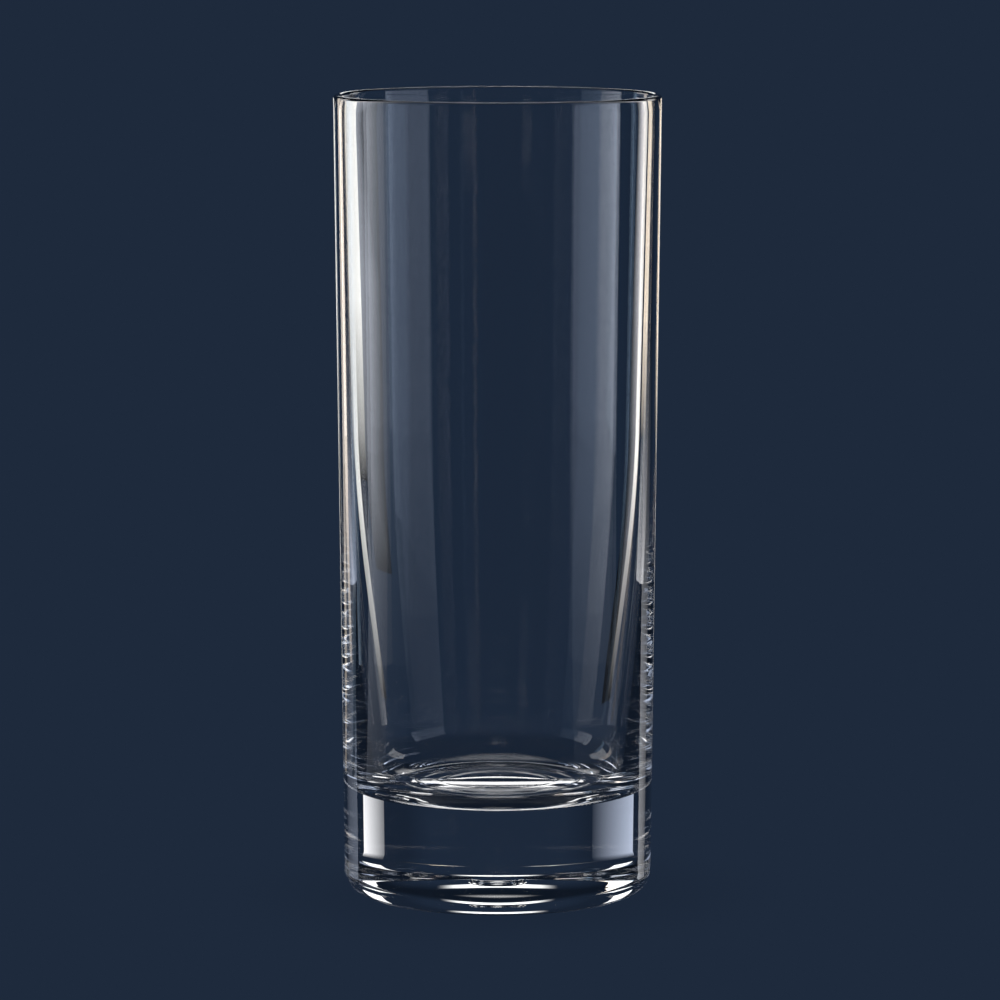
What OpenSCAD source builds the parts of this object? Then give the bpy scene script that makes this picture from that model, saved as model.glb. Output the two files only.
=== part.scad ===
// Highball glass: a tall clear tumbler with a thin wall and a heavy solid base.
// Millimetres, +Z up. The origin is the middle of the circle that the glass stands on.

/* [Overall] */
// Height from the table to the top of the rim
glass_h = 157.2; // [130:0.1:200]
// Outside diameter at the rim
rim_d = 64; // [58:0.1:84]
// Outside diameter just above the rounded bottom edge
foot_d = 60.5; // [57:0.1:80]

/* [Wall] */
// Thickness of the wall at the rim
rim_wall = 1.3; // [0.9:0.05:3]
// Thickness of the wall where it starts to swell towards the floor
swell_wall = 1.6; // [1.2:0.05:4]
// Height at which the wall starts to swell
swell_h = 92; // [60:1:110]
// Radius of the long curve by which the wall swells
swell_r = 670; // [450:10:1200]

/* [Drink space] */
// Height of the flat floor above the table
floor_h = 19.8; // [16:0.1:32]
// Radius of the rounded corner between floor and wall
corner_r = 7.9; // [3:0.1:10]
// Diameter of the inner of two low rings on the floor, along its crest
inner_ring_d = 24.4; // [18:0.1:28]
// Width of the inner ring
inner_ring_w = 2.4; // [1:0.1:4]
// Diameter of the outer ring, along its crest
outer_ring_d = 32.8; // [30:0.1:36]
// Width of the outer ring
outer_ring_w = 1.4; // [0.6:0.1:2]
// Height of both rings above the floor
floor_ring_h = 0.15; // [0.05:0.05:0.5]

/* [Base] */
// Height of the join between the body of the glass and the base fused under it
join_h = 14; // [9:0.1:17]
// Radius of the rounded bottom edge
foot_round = 4.6; // [2:0.1:6]
// Width of the flat ring that the glass stands on
stand_w = 2.2; // [1:0.1:5]
// Height of the hollow under the base, at its middle
punt_h = 3.8; // [1:0.1:6]
// Power of the hollow's curve: 2 is a round bowl, and more is flatter in the middle
punt_power = 1.8; // [1.2:0.1:4]
// Diameter of the round mark that the mould leaves in the middle of the hollow
mark_d = 7.2; // [4:0.1:14]
// Depth of that mark
mark_h = 0.6; // [0.1:0.05:1]
// Width of its sloping edge
mark_edge = 0.4; // [0.1:0.05:1]

/* [Hidden] */
// Sides of every round, and points on the curves of the outline
round_sides = 128;
curve_steps = 16;
fine_steps = 8;
quarter_turn = 90;
glass_tint = [0.86, 0.93, 0.96, 0.45];

rim_r = rim_d / 2;
foot_r = foot_d / 2;
lip_r = rim_wall / 2;
stand_out_r = foot_r - foot_round;
stand_in_r = stand_out_r - stand_w;
mark_out_r = (mark_d + mark_edge) / 2;
mark_in_r = (mark_d - mark_edge) / 2;

// Points on a circle of radius r about [x, z], from angle a to angle b
function arc(x, z, r, a, b) =
    [for (i = [0:curve_steps]) let (t = a + (b - a) * i / curve_steps) [x + r * cos(t), z + r * sin(t)]];

// The outside is one straight taper from the foot to the rim
out_slope = (rim_r - foot_r) / (glass_h - foot_round);
function out_r(z) = foot_r + out_slope * (z - foot_round);

// The wall grows evenly from the rim down to swell_h, then swells on a long curve
wall_slope = (swell_wall - rim_wall) / (glass_h - swell_h);
function drop(z) = max(0, swell_h - z);
function wall(z) = rim_wall + wall_slope * (glass_h - z) + drop(z) * drop(z) / swell_r / 2;
function in_r(z) = out_r(z) - wall(z);
function in_slope(z) = out_slope + wall_slope + drop(z) / swell_r;

// The corner's arc ends where its lean is the wall's lean at that height
corner_z = floor_h + corner_r;
function corner_lean(passes, lean = 0) =
    passes == 0 ? lean : corner_lean(passes - 1, atan(in_slope(corner_z - corner_r * sin(lean))));
lean_passes = 6;
lean = corner_lean(lean_passes);
wall_foot_z = corner_z - corner_r * sin(lean);
corner_x = in_r(wall_foot_z) - corner_r * cos(lean);

// A low rounded ring of diameter d and width w on the floor, as far out as the floor is flat
function ring_rise(r, d, w) = floor_ring_h * pow(cos(quarter_turn * abs(r - d / 2) / (w / 2)), 2);
function floor_ring(d, w) =
    [for (i = [0:fine_steps])
        let (r = (d - w) / 2 + w * i / fine_steps) if (r < corner_x) [r, floor_h + ring_rise(r, d, w)]];

// The hollow under the base is a shallow bowl
function punt_z(r) = punt_h * (1 - pow(r / stand_in_r, punt_power));

// Half outlines of the drink space, of the rim, of the bottom edge and of the hollow under the base
lip_z = glass_h - lip_r;
space_outline = concat(
    [[0, floor_h]],
    floor_ring(inner_ring_d, inner_ring_w),
    floor_ring(outer_ring_d, outer_ring_w),
    arc(corner_x, corner_z, corner_r, -quarter_turn, -lean),
    [for (i = [1:curve_steps])
        let (z = wall_foot_z + (swell_h - wall_foot_z) * i / curve_steps) [in_r(z), z]],
    [[in_r(lip_z), lip_z]]
);
lip_outline = arc(rim_r - lip_r, lip_z, lip_r, 2 * quarter_turn, 0);
foot_outline = arc(stand_out_r, foot_round, foot_round, 0, -quarter_turn);
punt_outline = concat(
    [for (i = [0:curve_steps])
        let (r = stand_in_r + (mark_out_r - stand_in_r) * i / curve_steps) [r, punt_z(r)]],
    [for (i = [0:fine_steps])
        let (r = mark_in_r * (1 - i / fine_steps)) [r, punt_z(r) + mark_h]]
);

// The body of the glass: thin wall, rounded rim and the floor of the drink space
module cup() {
    color(glass_tint)
        rotate_extrude($fn = round_sides)
            polygon(concat(
                [[0, join_h]],
                space_outline,
                lip_outline,
                [[out_r(join_h), join_h]]
            ));
}

// The heavy base: a solid block with a rounded edge, a flat ring to stand on and a shallow hollow
module base() {
    color(glass_tint)
        rotate_extrude($fn = round_sides)
            polygon(concat(
                [[0, join_h], [out_r(join_h), join_h]],
                foot_outline,
                punt_outline
            ));
}

cup();
base();
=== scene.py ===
import math
from collections import namedtuple

import bmesh
import bpy
from mathutils import Matrix, Vector


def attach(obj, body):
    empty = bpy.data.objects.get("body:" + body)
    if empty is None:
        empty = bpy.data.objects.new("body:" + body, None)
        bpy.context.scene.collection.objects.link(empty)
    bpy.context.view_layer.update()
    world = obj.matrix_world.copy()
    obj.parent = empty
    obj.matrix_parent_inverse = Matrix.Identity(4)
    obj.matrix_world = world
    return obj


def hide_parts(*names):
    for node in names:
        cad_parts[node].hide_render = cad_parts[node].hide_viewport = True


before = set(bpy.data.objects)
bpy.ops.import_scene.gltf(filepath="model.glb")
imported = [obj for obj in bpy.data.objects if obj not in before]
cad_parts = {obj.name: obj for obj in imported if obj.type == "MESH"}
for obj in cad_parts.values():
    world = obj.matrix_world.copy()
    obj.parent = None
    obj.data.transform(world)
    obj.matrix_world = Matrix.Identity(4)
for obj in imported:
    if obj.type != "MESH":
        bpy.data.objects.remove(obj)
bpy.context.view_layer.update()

MM = 0.001

# Sizes of the glass, in millimetres, as the part's source gives them
GLASS_H = 157.2
RIM_D = 64.0
FOOT_D = 60.5
RIM_WALL = 1.3
SWELL_WALL = 1.6
SWELL_H = 92.0
SWELL_R = 670.0
FLOOR_H = 19.8
CORNER_R = 7.9
INNER_RING_D = 24.4
INNER_RING_W = 2.4
OUTER_RING_D = 32.8
OUTER_RING_W = 1.4
FLOOR_RING_H = 0.15
JOIN_H = 14.0
FOOT_ROUND = 4.6
STAND_W = 2.2
PUNT_H = 3.8
PUNT_POWER = 1.8
MARK_D = 7.2
MARK_H = 0.6
MARK_EDGE = 0.4

# How far the polished skin lies inside the faceted solid, and how soft the stand ring's inner edge is
SKIN = 0.02
STAND_SOFT = 0.8

# Fineness of the turned surfaces
TURN_STEPS = 256
ARC_STEPS = 56
FLOOR_STEPS = 180
SWELL_STEPS = 140
STRAIGHT_STEPS = 30
HOLLOW_STEPS = 180
# Passes that settle where the rounded corner runs into the wall
LEAN_PASSES = 8

# Camera, in millimetres and degrees: distance along the table, height, aim and lens
CAMERA_BACK = 1075.0
CAMERA_UP = 212.56
CAMERA_PITCH = 7.152
CAMERA_ASIDE = 0.47
LENS_PER_FRAME = 5.5217
SENSOR = 36.0

# Colour of the backdrop
NAVY = (0.0130, 0.0232, 0.0452)

# Clear glass: its index, the grain of the wiping marks and of the slow waviness, the noise that counts as
# a mark, the roughness of a mark and the depth of the waviness in millimetres
GLASS_IOR = 1.52
WIPING_STRETCH = (1, 1, 0.25)
WIPING_SCALE = 90.0
WIPING_DETAIL = 4.0
WIPING_START = 0.62
WIPING_END = 0.8
WIPING_ROUGHNESS = 0.004
WAVE_STRETCH = (1, 1, 0.5)
WAVE_SCALE = 70.0
WAVE_DETAIL = 1.0
WAVE_DEPTH = 0.0003


def out_slope():
    return (RIM_D - FOOT_D) / 2 / (GLASS_H - FOOT_ROUND)


def out_r(z):
    """Outer radius at height z, above the rounded foot."""
    return FOOT_D / 2 + out_slope() * (z - FOOT_ROUND) - SKIN


def drop(z):
    """Depth below the height where the wall starts to swell."""
    return max(0.0, SWELL_H - z)


def wall_slope():
    return (SWELL_WALL - RIM_WALL) / (GLASS_H - SWELL_H)


def in_r(z):
    """Inner radius at height z: a thin wall that swells slowly towards the floor."""
    return out_r(z) - RIM_WALL - wall_slope() * (GLASS_H - z) - drop(z) ** 2 / SWELL_R / 2


def in_slope(z):
    return out_slope() + wall_slope() + drop(z) / SWELL_R


def spread(a, b, steps):
    """Evenly spaced values from a to b, both included."""
    return [a + (b - a) * i / steps for i in range(steps + 1)]


def arc(x, z, r, start, end):
    """Points on a circle about (x, z), from one angle to the other in degrees."""
    turns = [math.radians(t) for t in spread(start, end, ARC_STEPS)]
    return [(x + r * math.cos(t), z + r * math.sin(t)) for t in turns]


def smoothstep(t):
    t = min(max(t, 0.0), 1.0)
    return t * t * (3 - 2 * t)


def corner():
    """Centre, lean and upper end of the rounded corner between floor and wall."""
    z = FLOOR_H + CORNER_R
    lean = 0.0
    for _ in range(LEAN_PASSES):
        lean = math.atan(in_slope(z - CORNER_R * math.sin(lean)))
    top = z - CORNER_R * math.sin(lean)
    return in_r(top) - CORNER_R * math.cos(lean), z, math.degrees(lean), top


def floor_ring(r, diameter, width):
    """Height of one low, rounded ring on the floor of the drink space."""
    off = min(abs(r - diameter / 2) / (width / 2), 1.0)
    return FLOOR_RING_H * (1 + math.cos(math.pi * off)) / 2


def floor_z(r):
    return FLOOR_H + floor_ring(r, INNER_RING_D, INNER_RING_W) + floor_ring(r, OUTER_RING_D, OUTER_RING_W)


def punt_z(r):
    """Height of the hollow under the base, eased into the stand ring and with the round mould mark."""
    stand_out = FOOT_D / 2 - FOOT_ROUND
    stand_in = stand_out - STAND_W
    ease = STAND_SOFT * PUNT_H * PUNT_POWER / stand_in

    def eased_bowl(at):
        bowl = PUNT_H * (1 - (at / stand_in) ** PUNT_POWER)
        return (bowl + math.hypot(bowl, ease)) / 2

    mark = MARK_H * smoothstep((MARK_D / 2 + MARK_EDGE / 2 - r) / MARK_EDGE)
    return eased_bowl(r) - eased_bowl(stand_out) + mark


def cup_outline():
    """Half outline of the body, from the middle of its floor round the rim and down to the join."""
    x, z, lean, top = corner()
    lip_r = RIM_WALL / 2
    lip_z = GLASS_H - lip_r
    floor = [(r, floor_z(r)) for r in spread(0, x, FLOOR_STEPS)]
    swell = [(in_r(h), h) for h in spread(top, SWELL_H, SWELL_STEPS)]
    straight = [(in_r(h), h) for h in spread(SWELL_H, lip_z, STRAIGHT_STEPS)]
    lip = arc(out_r(lip_z) - lip_r, lip_z, lip_r, 180, 0)
    outside = [(out_r(h), h) for h in spread(lip_z, JOIN_H, STRAIGHT_STEPS)]
    return join_runs(floor, arc(x, z, CORNER_R, -90, -lean), swell, straight, lip, outside)


def base_outline():
    """Half outline of the base, from the join down the outside, over the stand ring and into the hollow."""
    stand_out = FOOT_D / 2 - FOOT_ROUND
    outside = [(out_r(h), h) for h in spread(JOIN_H, FOOT_ROUND, STRAIGHT_STEPS)]
    foot = arc(stand_out - SKIN, FOOT_ROUND, FOOT_ROUND, 0, -90)
    hollow = [(r, punt_z(r)) for r in spread(stand_out, 0, HOLLOW_STEPS)]
    return join_runs(outside, foot, hollow)


def join_runs(*runs):
    """Runs of points as one outline, without the points that neighbouring runs share."""
    points = []
    for run in runs:
        for p in run:
            if not points or math.dist(points[-1], p) > SKIN / 2:
                points.append(p)
    return points


def turn(name, outline, cap_z):
    """Closed solid of revolution: the outline turned about Z and shut by a flat contact face at cap_z.

    The contact face takes the second material and the turned surface the first.
    """
    bm = bmesh.new()
    rings = [ring_of_verts(bm, r, z) for r, z in outline]
    for one, two in zip(rings, rings[1:]):
        bridge(bm, one, two, smooth=True, material=0)
    edge = next(ring for ring, (r, z) in zip(rings, outline) if r > SKIN and abs(z - cap_z) < SKIN)
    bridge(bm, edge, ring_of_verts(bm, 0, cap_z), smooth=False, material=1)
    bmesh.ops.recalc_face_normals(bm, faces=bm.faces)
    on_edge = set(edge)
    for e in bm.edges:
        e.smooth = not on_edge.issuperset(e.verts)
    mesh = bpy.data.meshes.new(name)
    bm.to_mesh(mesh)
    bm.free()
    piece = bpy.data.objects.new(name, mesh)
    bpy.context.scene.collection.objects.link(piece)
    return piece


def ring_of_verts(bm, r, z):
    """One ring of points at radius r, or a single point on the axis."""
    if r < SKIN:
        return [bm.verts.new((0, 0, z * MM))]
    turns = [2 * math.pi * i / TURN_STEPS for i in range(TURN_STEPS)]
    return [bm.verts.new((r * math.cos(a) * MM, r * math.sin(a) * MM, z * MM)) for a in turns]


def bridge(bm, one, two, smooth, material):
    """Faces between two rings, where either may be a single point."""
    for i in range(TURN_STEPS):
        j = (i + 1) % TURN_STEPS
        if len(one) == 1:
            corners = (one[0], two[i], two[j])
        elif len(two) == 1:
            corners = (one[i], two[0], one[j])
        else:
            corners = (one[i], two[i], two[j], one[j])
        face = bm.faces.new(corners)
        face.smooth = smooth
        face.material_index = material


def new_material(name):
    mat = bpy.data.materials.new(name)
    mat.use_nodes = True
    mat.node_tree.nodes.clear()
    return mat, mat.node_tree.nodes, mat.node_tree.links


def add_noise(nodes, links, stretch, scale, detail):
    """Noise over the object's own coordinates, stretched by a factor along each axis."""
    place = nodes.new("ShaderNodeTexCoord")
    fit = nodes.new("ShaderNodeMapping")
    fit.inputs["Scale"].default_value = stretch
    links.new(place.outputs["Object"], fit.inputs["Vector"])
    noise = nodes.new("ShaderNodeTexNoise")
    noise.inputs["Scale"].default_value = scale
    noise.inputs["Detail"].default_value = detail
    links.new(fit.outputs[0], noise.inputs["Vector"])
    return noise.outputs[0]


def map_range(nodes, links, value, start, end, low, high, smooth=False):
    """Value from start to end as low to high, held beyond both ends."""
    node = nodes.new("ShaderNodeMapRange")
    node.interpolation_type = "SMOOTHSTEP" if smooth else "LINEAR"
    for key, number in (("From Min", start), ("From Max", end), ("To Min", low), ("To Max", high)):
        node.inputs[key].default_value = number
    links.new(value, node.inputs["Value"])
    return node.outputs[0]


def math_node(nodes, links, operation, one, two):
    node = nodes.new("ShaderNodeMath")
    node.operation = operation
    links.new(one, node.inputs[0])
    links.new(two, node.inputs[1])
    return node.outputs[0]


def clear_glass(name):
    """Clear glass with the slow waviness of pressed glass and a trace of wiping marks in its gloss."""
    mat, nodes, links = new_material(name)
    out = nodes.new("ShaderNodeOutputMaterial")
    glass = nodes.new("ShaderNodeBsdfPrincipled")
    glass.inputs["Base Color"].default_value = (1.0, 1.0, 1.0, 1)
    glass.inputs["IOR"].default_value = GLASS_IOR
    glass.inputs["Transmission Weight"].default_value = 1.0
    wiping = add_noise(nodes, links, WIPING_STRETCH, WIPING_SCALE, WIPING_DETAIL)
    marks = map_range(nodes, links, wiping, WIPING_START, WIPING_END, 0.0, WIPING_ROUGHNESS)
    links.new(marks, glass.inputs["Roughness"])
    waves = nodes.new("ShaderNodeBump")
    waves.inputs["Strength"].default_value = 1.0
    waves.inputs["Distance"].default_value = WAVE_DEPTH * MM
    links.new(add_noise(nodes, links, WAVE_STRETCH, WAVE_SCALE, WAVE_DETAIL), waves.inputs["Height"])
    links.new(waves.outputs[0], glass.inputs["Normal"])
    links.new(glass.outputs[0], out.inputs["Surface"])
    return mat


def fused_join(name):
    """The join inside the glass: the two pieces are one body of glass there, so light goes straight on."""
    mat, nodes, links = new_material(name)
    out = nodes.new("ShaderNodeOutputMaterial")
    clear = nodes.new("ShaderNodeBsdfTransparent")
    links.new(clear.outputs[0], out.inputs["Surface"])
    return mat


def make_glass():
    """The two pieces, with the fused join on the faces where they touch."""
    join = fused_join("fused_join")
    pieces = (("cup", cup_outline(), "body_glass"), ("base", base_outline(), "base_glass"))
    for node, outline, slot in pieces:
        piece = turn(f"{node}_glass", outline, JOIN_H)
        piece.data.materials.append(clear_glass(slot))
        piece.data.materials.append(join)
        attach(piece, "root")
        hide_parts(node)


# Floor: its colour, half its width and its depth under the glass, in millimetres, and the reach and tone
# of the painted contact shade, a darkening painted into the floor's colour near the glass
PALE = (0.72, 0.74, 0.77)
FLOOR_HALF = 900.0
FLOOR_GAP = 0.2
PAINTED_SHADE_START = 20.0
PAINTED_SHADE_END = 60.0
PAINTED_SHADE_TONE = 0.9


def make_floor():
    """Plain pale floor that shows the backdrop's colour to the camera, with painted shade that makes it a
    little darker under the glass.

    The glass doesn't show it, and shows the backdrop instead.
    """
    half = FLOOR_HALF * MM
    corners = [(-half, -half, 0), (half, -half, 0), (half, half, 0), (-half, half, 0)]
    mesh = bpy.data.meshes.new("floor")
    mesh.from_pydata(corners, [], [(0, 1, 2, 3)])
    floor = bpy.data.objects.new("floor", mesh)
    floor.location.z = -FLOOR_GAP * MM
    bpy.context.scene.collection.objects.link(floor)
    mat, nodes, links = new_material("pale_floor")
    out = nodes.new("ShaderNodeOutputMaterial")
    paint = nodes.new("ShaderNodeBsdfDiffuse")
    paint.inputs["Color"].default_value = (*PALE, 1)
    through = nodes.new("ShaderNodeBsdfTransparent")
    seen = nodes.new("ShaderNodeEmission")
    seen.inputs["Color"].default_value = (*NAVY, 1)
    place = nodes.new("ShaderNodeTexCoord")
    away = nodes.new("ShaderNodeVectorMath")
    away.operation = "LENGTH"
    links.new(place.outputs["Object"], away.inputs[0])
    # Painted contact shade: the navy the camera sees is darkened by distance from the glass's axis, not by a
    # cast shadow
    start, end = PAINTED_SHADE_START * MM, PAINTED_SHADE_END * MM
    shade = map_range(nodes, links, away.outputs["Value"], start, end, PAINTED_SHADE_TONE, 1.0, True)
    links.new(shade, seen.inputs["Strength"])
    path = nodes.new("ShaderNodeLightPath")
    glassy = glass_rays(nodes, links, path)
    glassy = math_node(nodes, links, "MAXIMUM", glassy, path.outputs["Is Shadow Ray"])
    behind = mix_shaders(nodes, links, glassy, paint, through)
    surface = mix_shaders(nodes, links, path.outputs["Is Camera Ray"], behind, seen)
    links.new(surface.outputs[0], out.inputs["Surface"])
    mesh.materials.append(mat)


def glass_rays(nodes, links, path):
    """1 for light that has just been mirrored by a surface or has just passed through one."""
    mirrored, passed = path.outputs["Is Glossy Ray"], path.outputs["Is Transmission Ray"]
    return math_node(nodes, links, "MAXIMUM", mirrored, passed)


def mix_shaders(nodes, links, share, one, two):
    """The first shader at a share of 0 and the second at 1."""
    mix = nodes.new("ShaderNodeMixShader")
    links.new(share, mix.inputs[0])
    links.new(one.outputs[0], mix.inputs[1])
    links.new(two.outputs[0], mix.inputs[2])
    return mix


# Lamps stand this far from the glass, in millimetres, and the two for the base farther out. An area light
# of this many watts per unit of area and radiance shines with that radiance.
LAMP_DISTANCE = 700.0
FAR_DISTANCE = 1400.0
AREA_LIGHT_SHARE = 4.0

# Height of the strips of light on the table, in millimetres, and the step down to each next layer
STRIP_Z = -0.6
STRIP_STEP = 0.05

# Top of the softboxes in millimetres, and as shares their light at the table and the height where it is full
SOFTBOX_TOP = 300.0
SOFTBOX_LOW_SHARE = 0.75
SOFTBOX_RISE_SHARE = 0.4

# Upright lamps round the glass. The azimuth of the two edges is in degrees from the camera's side,
# positive to the right. The colour is the radiance, where 1 is white, and start_share and end_share
# change it at the two edges. low and high are heights in millimetres. The light goes from low_share at
# the lower end to high_share at the share rise of the height. A mirrored lamp shows only in light that
# the glass mirrors. away is the distance from the glass.
SideLamp = namedtuple(
    "SideLamp",
    "name start end colour start_share end_share low high low_share high_share rise mirrored away",
    defaults=(1.0, 1.0, STRIP_Z, SOFTBOX_TOP, SOFTBOX_LOW_SHARE, 1.0, SOFTBOX_RISE_SHARE, True,
              LAMP_DISTANCE),
)
SIDE_LAMPS = (
    SideLamp("right_softbox", 54, 93, (0.43, 0.50, 0.65)),
    SideLamp("right_edge", 87, 93.5, (0.30, 0.36, 0.45), 0.6, 1.2),
    SideLamp("left_strip", -149, -143, (1.7, 1.5, 1.3)),
    SideLamp("left_cool", -129, -124, (0.5, 0.7, 0.95), 1.0, 0.6),
    SideLamp("left_softbox", -106, -85, (1.3, 1.4, 1.6), 1.0, 0.55),
    SideLamp("left_fill", -85, -66, (0.22, 0.29, 0.41), 1.2, 0.65),
)

# Lamps for the base: a little below the table's level, above it for the rounded foot, and far below it
BASE_LAMPS = (
    SideLamp("base_right", 130.5, 144.5, (1.45, 1.45, 1.48), 1.0, 0.15,
             -308, -28, 1.0, 0.0, 1.0, False, FAR_DISTANCE),
    SideLamp("base_left", -153, -129, (0.62, 0.70, 0.88), 0.03, 1.0,
             -308, -28, 1.0, 0.0, 1.0, False, FAR_DISTANCE),
    SideLamp("foot_right", 129, 143, (1.5, 1.5, 1.5), 1.0, 0.8, 125, 420, 1.0, 1.0, 1.0, False),
    SideLamp("foot_left", -143, -129, (1.5, 1.5, 1.5), 0.8, 1.0, 125, 420, 1.0, 1.0, 1.0, False),
    SideLamp("low_right", 112, 150, (1.0, 1.0, 1.0), 1.0, 1.0, -608, -527, 1.0, 1.0, 1.0, False),
    SideLamp("low_left", -150, -112, (1.0, 1.0, 1.0), 1.0, 1.0, -608, -527, 1.0, 1.0, 1.0, False),
)

# Strips of light on the table, as wedges whose tip is a point of the table. The azimuths, the colour and
# the shares are as for lamps. near, full and far are distances from the tip in millimetres. The light
# goes from near_share at near to all of it at full, and stays so up to far. A mirrored strip shows only
# in light that the glass mirrors, and the others only in light that is mirrored once at most.
FloorStrip = namedtuple(
    "FloorStrip",
    "name start end colour start_share end_share near far near_share full tip mirrored",
    defaults=(False,),
)
LEFT_TIP = (-29.0, 10.0)
RIGHT_TIP = (29.0, 10.0)
AXIS = (0.0, 0.0)
FLOOR_STRIPS = (
    FloorStrip("left_line", -170.4, -168.0, (1.3, 1.3, 1.25), 1.0, 1.0, 120, 1110, 0.0, 450, LEFT_TIP),
    FloorStrip("left_wide", -172.8, -166.7, (1.5, 1.5, 1.45), 1.0, 1.0, 520, 4500, 0.0, 1200, LEFT_TIP),
    FloorStrip("left_glow", -176.0, -172.8, (0.48, 0.51, 0.58), 0.0, 1.0, 300, 4500, 0.0, 1300, LEFT_TIP),
    FloorStrip("right_line", 169.4, 171.1, (1.5, 1.45, 1.4), 1.0, 1.0, 120, 4500, 0.0, 600, RIGHT_TIP),
    FloorStrip("right_glow", 171.1, 173.2, (0.75, 0.75, 0.8), 1.0, 0.0, 120, 4500, 0.0, 1200, RIGHT_TIP),
    FloorStrip("right_tan", 163.6, 168.4, (1.9, 1.6, 1.25), 1.0, 1.0, 700, 4500, 0.0, 1100, RIGHT_TIP),
)

# The strip that leads to the foot of each softbox: its share of the softbox's radiance, where it starts
# and with what share of its light, and where it has all of it
SIDE_STRIP_SHARE = 0.75
SIDE_STRIP_NEAR = 150.0
SIDE_STRIP_NEAR_SHARE = 0.3
SIDE_STRIP_FULL = 500.0

# Panels that hang across the back and over the glass. The elevation of the two edges is in degrees from
# the table behind the glass, seen from LAMP_MIDDLE_Z on the axis, so that 90 is overhead. The width is in
# millimetres, and the sides and the two edges fade over a share of the panel.
BackLamp = namedtuple("BackLamp", "name low high width radiance side_fade edge_fade")
LAMP_MIDDLE_Z = 20.0
BACK_LAMPS = (
    BackLamp("back_low", 19, 30, 320, 1.6, 0.3, 0.25),
    BackLamp("back_high", 41, 78, 320, 1.5, 0.3, 0.3),
)


def add_panel(name, width, height, colour, place, rotation):
    """Rectangular lamp hidden from the camera, and the sockets for a point's place across and up it."""
    light = bpy.data.lights.new(name, "AREA")
    light.shape = "RECTANGLE"
    light.size = width * MM
    light.size_y = height * MM
    light.energy = light.size * light.size_y * AREA_LIGHT_SHARE
    light.color = colour
    light.use_nodes = True
    nodes, links = light.node_tree.nodes, light.node_tree.links
    nodes.clear()
    point = nodes.new("ShaderNodeNewGeometry")
    split = nodes.new("ShaderNodeSeparateXYZ")
    links.new(point.outputs["Parametric"], split.inputs[0])
    lamp = bpy.data.objects.new(name, light)
    lamp.location = place * MM
    lamp.rotation_euler = rotation
    lamp.visible_camera = False
    bpy.context.scene.collection.objects.link(lamp)
    return nodes, links, split.outputs[0], split.outputs[1]


def set_glow(nodes, links, share):
    """Brightness over a lamp, as a share of its radiance."""
    out = nodes.new("ShaderNodeOutputLight")
    glow = nodes.new("ShaderNodeEmission")
    links.new(share, glow.inputs["Strength"])
    links.new(glow.outputs[0], out.inputs["Surface"])


def make_side_lamp(spec):
    """Upright lamp between two azimuths, facing the axis of the glass."""
    middle = math.radians((spec.start + spec.end) / 2)
    half = math.radians((spec.end - spec.start) / 2)
    away = Vector((math.sin(middle), -math.cos(middle), 0))
    place = away * spec.away + Vector((0, 0, (spec.low + spec.high) / 2))
    width = 2 * spec.away * math.tan(half)
    rotation = (-away).to_track_quat("-Z", "Y").to_euler()
    height = spec.high - spec.low
    nodes, links, across, up = add_panel(spec.name, width, height, spec.colour, place, rotation)
    sideways = map_range(nodes, links, across, 0.0, 1.0, spec.start_share, spec.end_share)
    upward = map_range(nodes, links, up, 0.0, spec.rise, spec.low_share, spec.high_share)
    glow = math_node(nodes, links, "MULTIPLY", sideways, upward)
    if spec.mirrored:
        glow = math_node(nodes, links, "MULTIPLY", glow, mirrored_share(nodes, links))
    set_glow(nodes, links, glow)


def mirrored_share(nodes, links):
    """1 for light that a surface mirrors on its way, and 0 for light that only passes through the glass."""
    path = nodes.new("ShaderNodeLightPath")
    return map_range(nodes, links, path.outputs["Glossy Depth"], 0.0, 1.0, 0.0, 1.0)


def direct_share(nodes, links):
    """1 for light that is mirrored once at most, and 0 for the faint ghosts of further mirroring."""
    path = nodes.new("ShaderNodeLightPath")
    return map_range(nodes, links, path.outputs["Glossy Depth"], 1.0, 2.0, 1.0, 0.0)


def make_floor_strip(spec, z):
    """Strip of light on the table between two azimuths, with straight ends and hidden from the camera."""
    slant = math.cos(math.radians((spec.end - spec.start) / 2))
    corners, glow = [], []
    for distance, share in ((spec.near, spec.near_share), (spec.full, 1.0), (spec.far, 1.0)):
        for azimuth, side_share in ((spec.start, spec.start_share), (spec.end, spec.end_share)):
            turn_by = math.radians(azimuth)
            x = spec.tip[0] + distance / slant * math.sin(turn_by)
            y = spec.tip[1] - distance / slant * math.cos(turn_by)
            corners.append((x * MM, y * MM, z * MM))
            glow.append([c * share * side_share for c in spec.colour] + [1.0])
    mesh = bpy.data.meshes.new(spec.name)
    mesh.from_pydata(corners, [], [(0, 1, 3, 2), (2, 3, 5, 4)])
    tint = mesh.color_attributes.new("glow", "FLOAT_COLOR", "POINT")
    for point, colour in zip(tint.data, glow):
        point.color = colour
    mat, nodes, links = new_material(spec.name)
    out = nodes.new("ShaderNodeOutputMaterial")
    shine = nodes.new("ShaderNodeEmission")
    read = nodes.new("ShaderNodeVertexColor")
    read.layer_name = "glow"
    links.new(read.outputs["Color"], shine.inputs["Color"])
    gone = nodes.new("ShaderNodeBsdfTransparent")
    share = mirrored_share(nodes, links) if spec.mirrored else direct_share(nodes, links)
    links.new(mix_shaders(nodes, links, share, gone, shine).outputs[0], out.inputs["Surface"])
    mesh.materials.append(mat)
    strip = bpy.data.objects.new(spec.name, mesh)
    strip.visible_camera = False
    strip.visible_diffuse = False
    bpy.context.scene.collection.objects.link(strip)


def softbox_strip(lamp):
    """The strip on the table that leads from near the glass to the foot of a softbox."""
    colour = [c * SIDE_STRIP_SHARE for c in lamp.colour]
    return FloorStrip(
        f"{lamp.name}_strip", lamp.start, lamp.end, colour, lamp.start_share, lamp.end_share,
        SIDE_STRIP_NEAR, LAMP_DISTANCE, SIDE_STRIP_NEAR_SHARE, SIDE_STRIP_FULL, AXIS, True,
    )


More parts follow.
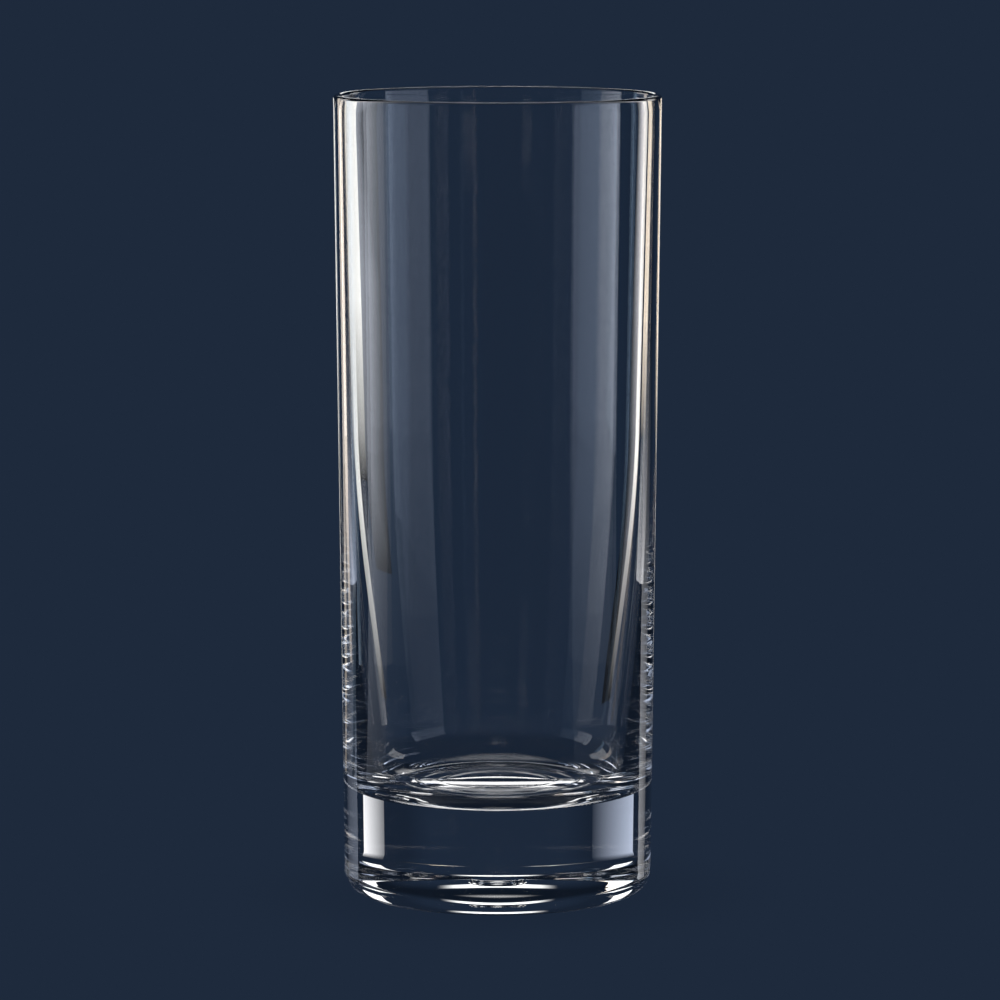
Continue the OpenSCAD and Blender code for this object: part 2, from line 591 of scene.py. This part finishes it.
def make_back_lamp(spec):
    """Panel across the back between two elevations, facing the glass."""
    middle = math.radians((spec.low + spec.high) / 2)
    half = math.radians((spec.high - spec.low) / 2)
    away = Vector((0, math.cos(middle), math.sin(middle)))
    place = away * LAMP_DISTANCE + Vector((0, 0, LAMP_MIDDLE_Z))
    height = 2 * LAMP_DISTANCE * math.tan(half)
    along = Vector((1, 0, 0))
    rotation = Matrix((along, away.cross(along), away)).transposed().to_euler()
    white = (spec.radiance,) * 3
    nodes, links, across, up = add_panel(spec.name, spec.width, height, white, place, rotation)
    sideways = edge_fade(nodes, links, across, spec.side_fade)
    upward = edge_fade(nodes, links, up, spec.edge_fade)
    set_glow(nodes, links, math_node(nodes, links, "MULTIPLY", sideways, upward))


def edge_fade(nodes, links, value, share):
    """0 at both edges, rising softly to 1 over a share of the panel."""
    fold = nodes.new("ShaderNodeMath")
    fold.operation = "PINGPONG"
    fold.inputs[1].default_value = 0.5
    links.new(value, fold.inputs[0])
    return map_range(nodes, links, fold.outputs[0], 0.0, share, 0.0, 1.0, True)


# In the glass the surroundings are dark to the sides, and rise to the backdrop's tone between these
# cosines from straight behind. Light that only passes through the glass shows at least THROUGH_TONE.
SIDE_TONE = 0.35
SIDE_COSINE = 0.80
BACK_COSINE = 0.94
THROUGH_TONE = 0.75
# Soft light of the room on the floor
ROOM_COLOUR = (0.9, 0.95, 1.0)
ROOM_STRENGTH = 0.6


def make_world():
    """Dark blue backdrop for the camera and for the glass, and soft white light on the floor."""
    world = bpy.data.worlds.new("studio")
    bpy.context.scene.world = world
    world.use_nodes = True
    nodes, links = world.node_tree.nodes, world.node_tree.links
    nodes.clear()
    out = nodes.new("ShaderNodeOutputWorld")
    plain, in_glass, soft = [nodes.new("ShaderNodeBackground") for _ in range(3)]
    plain.inputs["Color"].default_value = (*NAVY, 1)
    in_glass.inputs["Color"].default_value = (*NAVY, 1)
    soft.inputs["Color"].default_value = (*ROOM_COLOUR, 1)
    soft.inputs["Strength"].default_value = ROOM_STRENGTH
    way = nodes.new("ShaderNodeTexCoord")
    split = nodes.new("ShaderNodeSeparateXYZ")
    links.new(way.outputs["Generated"], split.inputs[0])
    shade = map_range(nodes, links, split.outputs[1], SIDE_COSINE, BACK_COSINE, SIDE_TONE, 1.0)
    path = nodes.new("ShaderNodeLightPath")
    through = map_range(nodes, links, path.outputs["Glossy Depth"], 0.0, 1.0, THROUGH_TONE, 0.0)
    links.new(math_node(nodes, links, "MAXIMUM", shade, through), in_glass.inputs["Strength"])
    unseen = mix_shaders(nodes, links, glass_rays(nodes, links, path), soft, in_glass)
    surface = mix_shaders(nodes, links, path.outputs["Is Camera Ray"], unseen, plain)
    links.new(surface.outputs[0], out.inputs["Surface"])


def make_camera():
    data = bpy.data.cameras.new("camera")
    data.sensor_width = SENSOR
    data.lens = SENSOR * LENS_PER_FRAME
    camera = bpy.data.objects.new("camera", data)
    camera.location = Vector((CAMERA_ASIDE, -CAMERA_BACK, CAMERA_UP)) * MM
    camera.rotation_euler = (math.radians(90 - CAMERA_PITCH), 0, 0)
    bpy.context.scene.collection.objects.link(camera)
    bpy.context.scene.camera = camera


# How often light may be mirrored or pass a surface
LIGHT_BOUNCES = 48


def set_light_paths():
    """Lets light cross the many surfaces of thick glass."""
    cycles = bpy.context.scene.cycles
    cycles.max_bounces = LIGHT_BOUNCES
    cycles.glossy_bounces = LIGHT_BOUNCES
    cycles.transmission_bounces = LIGHT_BOUNCES
    cycles.transparent_max_bounces = LIGHT_BOUNCES


make_glass()
make_floor()
make_world()
for spec in SIDE_LAMPS:
    make_side_lamp(spec)
    make_floor_strip(softbox_strip(spec), STRIP_Z)
for spec in BASE_LAMPS:
    make_side_lamp(spec)
for layer, spec in enumerate(FLOOR_STRIPS):
    make_floor_strip(spec, STRIP_Z - STRIP_STEP * (layer + 1))
for spec in BACK_LAMPS:
    make_back_lamp(spec)
make_camera()
set_light_paths()
bpy.context.scene.view_settings.view_transform = "Standard"
